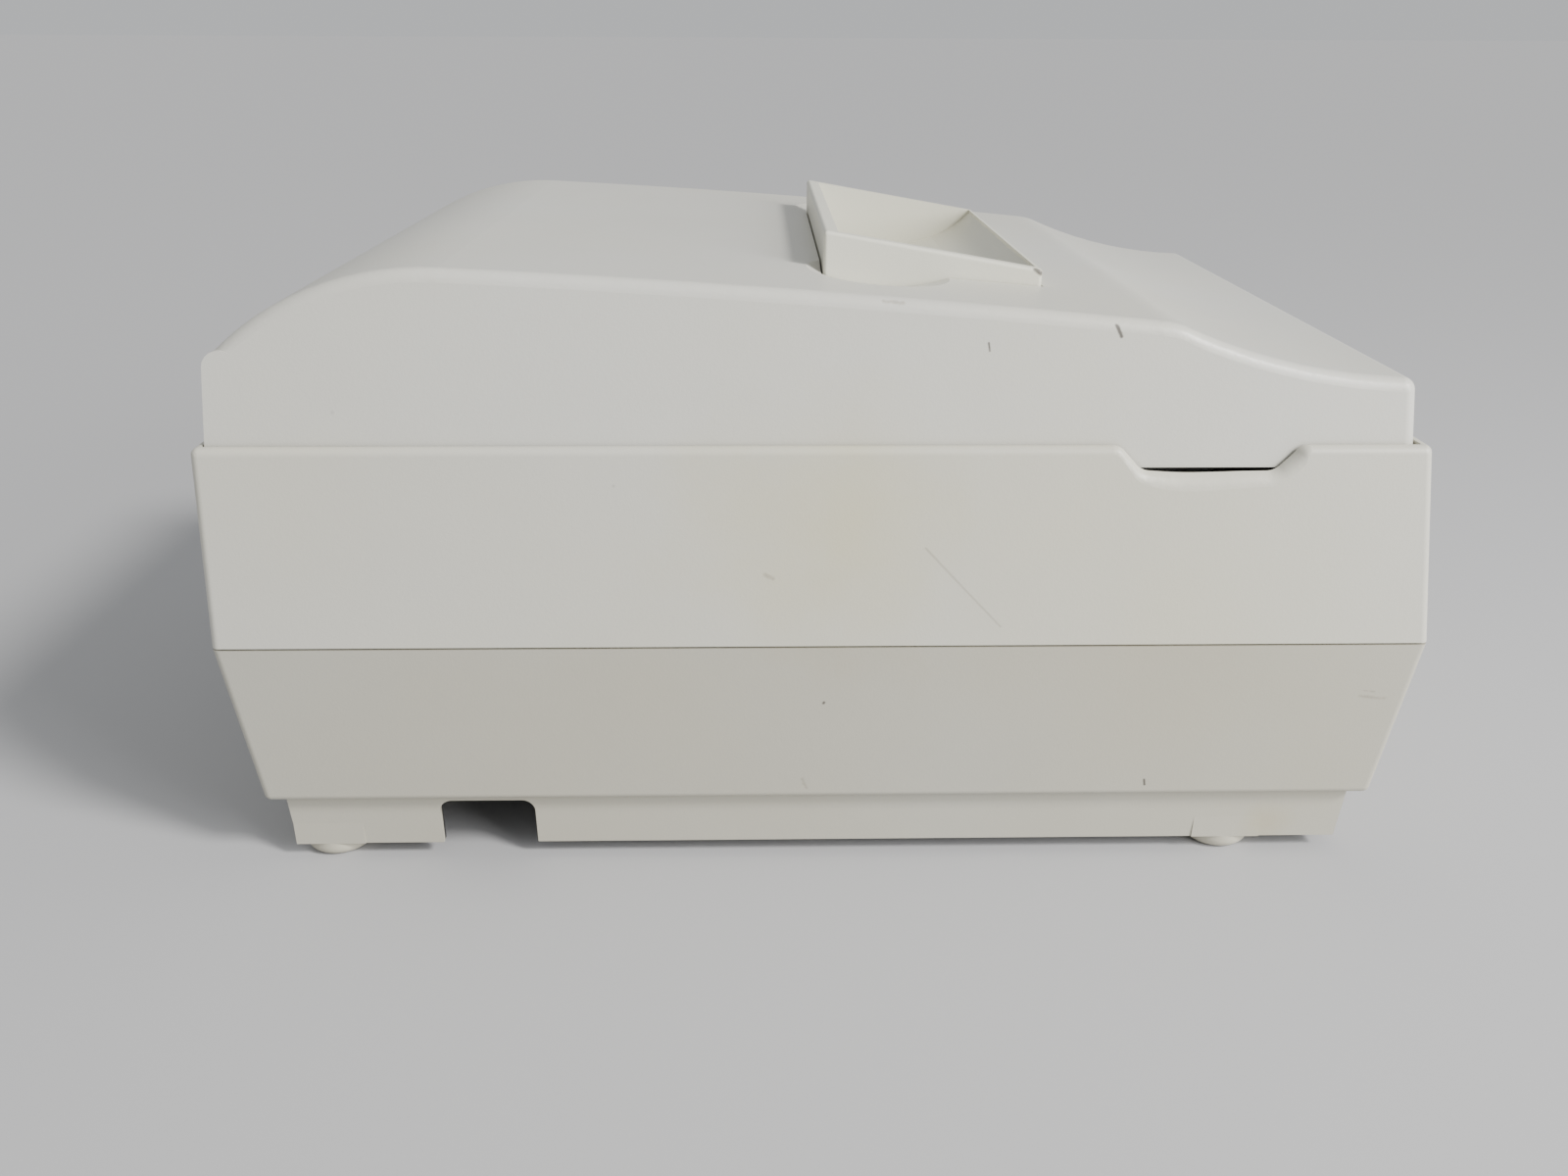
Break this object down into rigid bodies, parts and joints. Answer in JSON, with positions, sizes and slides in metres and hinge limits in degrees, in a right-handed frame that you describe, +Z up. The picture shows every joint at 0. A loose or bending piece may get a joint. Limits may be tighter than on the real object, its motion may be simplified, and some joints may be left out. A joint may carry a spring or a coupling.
{
  "type": "inkjet printer",
  "caption": "Desktop inkjet receipt printer: tapered plastic case, hinged humped cover over a paper roll, lift-out receipt chute and a sliding print carriage.",
  "frame": {"origin": "middle of the footprint at the level of the feet", "axes": "+Z up, front faces -Y, +X to the right seen from the front"},
  "size_m": [0.17, 0.26, 0.1393],
  "materials": {
    "case_lower": "fine moulded texture",
    "case_upper": "fine moulded texture",
    "cover_plastic": "fine moulded texture",
    "chute_plastic": "fine moulded texture",
    "foot_plastic": "fine moulded texture",
    "steel_pin": "satin",
    "screw_steel": "satin",
    "zinc_steel": "zinc plated",
    "paper": "matte",
    "cardboard": "matte",
    "dark_plastic": "matte",
    "roller_rubber": "matte",
    "polished_steel": "polished",
    "gear_nylon": "satin",
    "brass_gear": "satin",
    "motor_can": "satin",
    "cartridge_plastic": "satin",
    "latch_plastic": "satin",
    "belt_rubber": "matte",
    "cap_rubber": "matte",
    "felt_pad": "felt",
    "board_green": "solder mask",
    "chip_black": "matte",
    "brass_post": "satin",
    "connector_black": "matte",
    "rocker_black": "satin",
    "button_grey": "matte",
    "lamp_lens": "clear tinted"
  },
  "bodies": {
    "case": {"lower_case": "case_lower", "mid_case": "case_upper", "front_left_foot": "foot_plastic", "front_right_foot": "foot_plastic", "rear_left_foot": "foot_plastic", "rear_right_foot": "foot_plastic", "hinge_pins": "steel_pin", "case_screws": "screw_steel", "base_plate": "zinc_steel", "base_screws": "screw_steel", "left_side_frame": "zinc_steel", "right_side_frame": "zinc_steel", "idler_stud": "polished_steel", "feed_motor": "motor_can", "platen": "dark_plastic", "tear_bar": "polished_steel", "guide_rod": "polished_steel", "guide_rail": "zinc_steel", "timing_belt": "belt_rubber", "carriage_motor": "motor_can", "idler_bracket": "zinc_steel", "capping_station": "cap_rubber", "waste_ink_pad": "felt_pad", "circuit_board": "board_green", "board_components": "chip_black", "board_posts": "brass_post", "data_connector": "connector_black", "power_inlet": "connector_black", "switch_housing": "connector_black", "status_lamps": "lamp_lens"},
    "cover": {"top_cover": "cover_plastic"},
    "chute": {"receipt_chute": "chute_plastic"},
    "roll": {"paper_roll": "paper", "roll_core": "cardboard", "roll_spindle": "dark_plastic"},
    "feed": {"feed_roller": "roller_rubber", "feed_shaft": "polished_steel", "feed_roller_gear": "gear_nylon"},
    "pinch": {"pinch_roller": "roller_rubber", "pinch_shaft": "polished_steel"},
    "idler_gear": {"feed_idler_gear": "gear_nylon"},
    "pinion": {"feed_pinion": "brass_gear", "feed_motor_shaft": "polished_steel"},
    "carriage": {"print_carriage": "dark_plastic"},
    "cartridge": {"ink_cartridge": "cartridge_plastic"},
    "latch": {"cartridge_latch": "latch_plastic"},
    "drive_wheel": {"drive_pulley": "gear_nylon"},
    "idler_wheel": {"idler_pulley": "gear_nylon"},
    "feed_key": {"feed_button": "button_grey"},
    "release_key": {"release_button": "button_grey"},
    "rocker": {"power_rocker": "rocker_black"}
  },
  "joints": [
    {"name": "cover_hinge", "type": "hinge", "parent": "case", "child": "cover", "pos_m": [0, 0.1272, 0.1032], "axis": [-1, 0, 0], "range_deg": [0, 95]},
    {"name": "chute_lift", "type": "slide", "parent": "cover", "child": "chute", "axis": [0, 0, 1], "range_m": [0, 0.028]},
    {"name": "roll_spin", "type": "hinge", "parent": "case", "child": "roll", "pos_m": [0, 0.072, 0.088], "axis": [1, 0, 0], "continuous": true},
    {"name": "feed_spin", "type": "hinge", "parent": "case", "child": "feed", "pos_m": [0, -0.001, 0.058], "axis": [1, 0, 0], "continuous": true},
    {"name": "pinch_spin", "type": "hinge", "parent": "case", "child": "pinch", "pos_m": [0, -0.0145, 0.058], "axis": [1, 0, 0], "continuous": true},
    {"name": "idler_gear_spin", "type": "hinge", "parent": "case", "child": "idler_gear", "pos_m": [0, 0.00275, 0.03673], "axis": [1, 0, 0], "continuous": true},
    {"name": "pinion_spin", "type": "hinge", "parent": "case", "child": "pinion", "pos_m": [0, -0.01304, 0.04247], "axis": [1, 0, 0], "continuous": true},
    {"name": "carriage_slide", "type": "slide", "parent": "case", "child": "carriage", "axis": [-1, 0, 0], "range_m": [0, 0.096]},
    {"name": "cartridge_lift", "type": "slide", "parent": "carriage", "child": "cartridge", "axis": [0, 0, 1], "range_m": [0, 0.0004]},
    {"name": "latch_hinge", "type": "hinge", "parent": "carriage", "child": "latch", "pos_m": [0.048, -0.0774, 0.1014], "axis": [1, 0, 0], "range_deg": [0, 55]},
    {"name": "drive_pulley_spin", "type": "hinge", "parent": "case", "child": "drive_wheel", "pos_m": [0.056, -0.092, 0.084], "axis": [0, 0, 1], "range_deg": [-910.16, 910.16]},
    {"name": "idler_pulley_spin", "type": "hinge", "parent": "case", "child": "idler_wheel", "pos_m": [-0.056, -0.092, 0.084], "axis": [0, 0, 1], "range_deg": [-910.16, 910.16]},
    {"name": "feed_button_press", "type": "slide", "parent": "case", "child": "feed_key", "axis": [0, 0.9878, -0.1555], "range_m": [0, 0.001], "stiffness_N_per_m": 400, "springref_m": -0.0005},
    {"name": "release_button_press", "type": "slide", "parent": "case", "child": "release_key", "axis": [0, 0.9878, -0.1555], "range_m": [0, 0.001], "stiffness_N_per_m": 400, "springref_m": -0.0005},
    {"name": "rocker_tilt", "type": "hinge", "parent": "case", "child": "rocker", "pos_m": [0.045, 0.12675, 0.04], "axis": [-1, 0, 0], "range_deg": [0, 16]}
  ],
  "couplings": [
    {"joint": "idler_gear_spin", "follows": "feed_spin", "ratio": -0.8},
    {"joint": "pinion_spin", "follows": "feed_spin", "ratio": 2},
    {"joint": "pinch_spin", "follows": "feed_spin", "ratio": -1.6},
    {"joint": "drive_pulley_spin", "follows": "carriage_slide", "rad_per_m": 165.29},
    {"joint": "idler_pulley_spin", "follows": "carriage_slide", "rad_per_m": 165.29}
  ]
}
